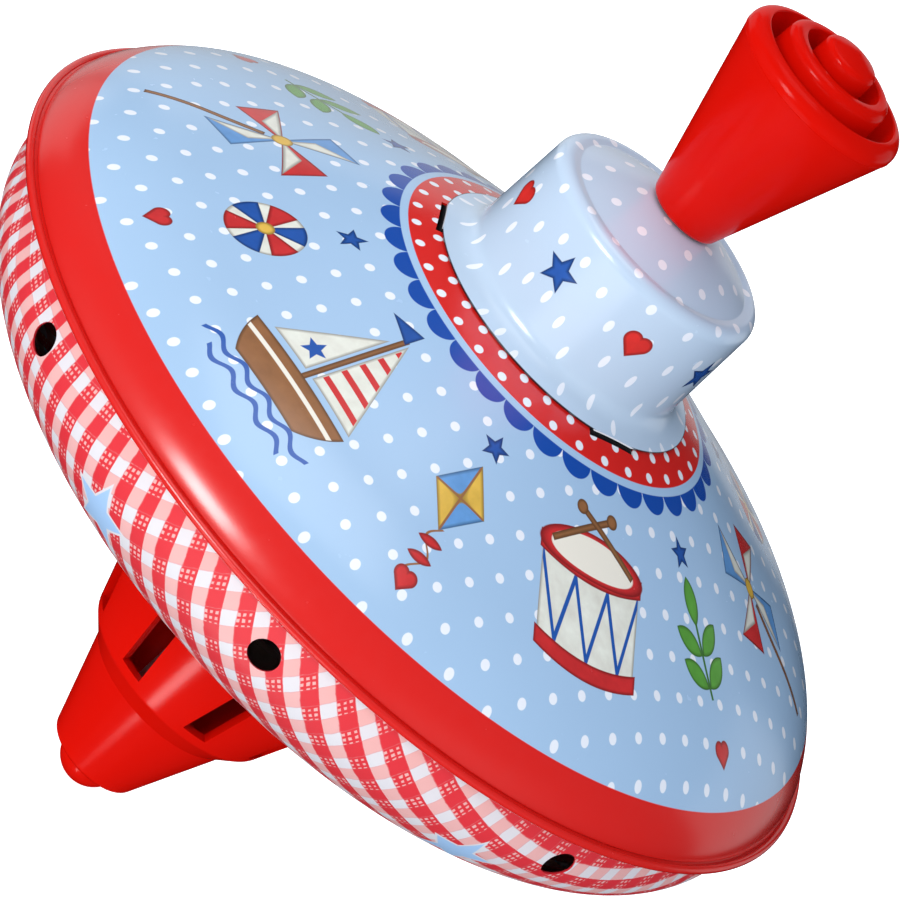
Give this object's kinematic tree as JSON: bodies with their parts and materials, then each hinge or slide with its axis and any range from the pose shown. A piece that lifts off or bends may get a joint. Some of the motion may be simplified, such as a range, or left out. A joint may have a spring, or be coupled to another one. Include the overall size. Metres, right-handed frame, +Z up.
{
  "type": "spinning top",
  "caption": "Pump-action tin humming top: a round printed body on a pointed foot, with a knob on a twisted rod that spins it when pushed down.",
  "frame": {"origin": "lowest point of the foot's round tip, on the spin axis", "axes": "+Z up along the spin axis towards the knob; -Y towards a sound hole, the side that the picture shows"},
  "size_m": [0.19, 0.19, 0.2089],
  "materials": {
    "tin_dome": "glossy printed tin, light blue with a red rim",
    "tin_pan": "glossy printed tin, red and white check",
    "tin_cap": "glossy printed tin, light blue with white dots",
    "plastic_red": "glossy moulded",
    "plastic_disc": "moulded",
    "plastic_white": "moulded",
    "plastic_black": "moulded",
    "steel": "plain drawn steel",
    "brass": "plain sheet"
  },
  "bodies": {
    "body": {"upper_shell": "tin_dome", "lower_shell": "tin_pan", "cap": "tin_cap", "cap_bush": "plastic_white", "clutch_cup": "plastic_black", "clutch_cover": "steel", "rod_tube": "steel", "sound_plate": "plastic_white", "reed_frames": "brass", "reed_tongues": "brass", "reed_rivets": "steel", "foot": "plastic_red", "foot_tip": "plastic_red", "foot_ring": "plastic_white"},
    "handle": {"knob": "plastic_red", "knob_sleeve": "steel", "spiral_rod": "steel", "rod_stop": "steel"},
    "driver": {"clutch_disc": "plastic_disc", "drive_plate": "steel"}
  },
  "joints": [
    {"name": "handle_pump", "type": "slide", "parent": "body", "child": "handle", "axis": [0, 0, 1], "range_m": [0, 0.1142]},
    {"name": "driver_spin", "type": "hinge", "parent": "body", "child": "driver", "pos_m": [0, 0, 0.1437], "axis": [0, 0, 1], "range_deg": [-1143, 0]}
  ],
  "couplings": [
    {"joint": "driver_spin", "follows": "handle_pump", "rad_per_m": -174.53}
  ]
}
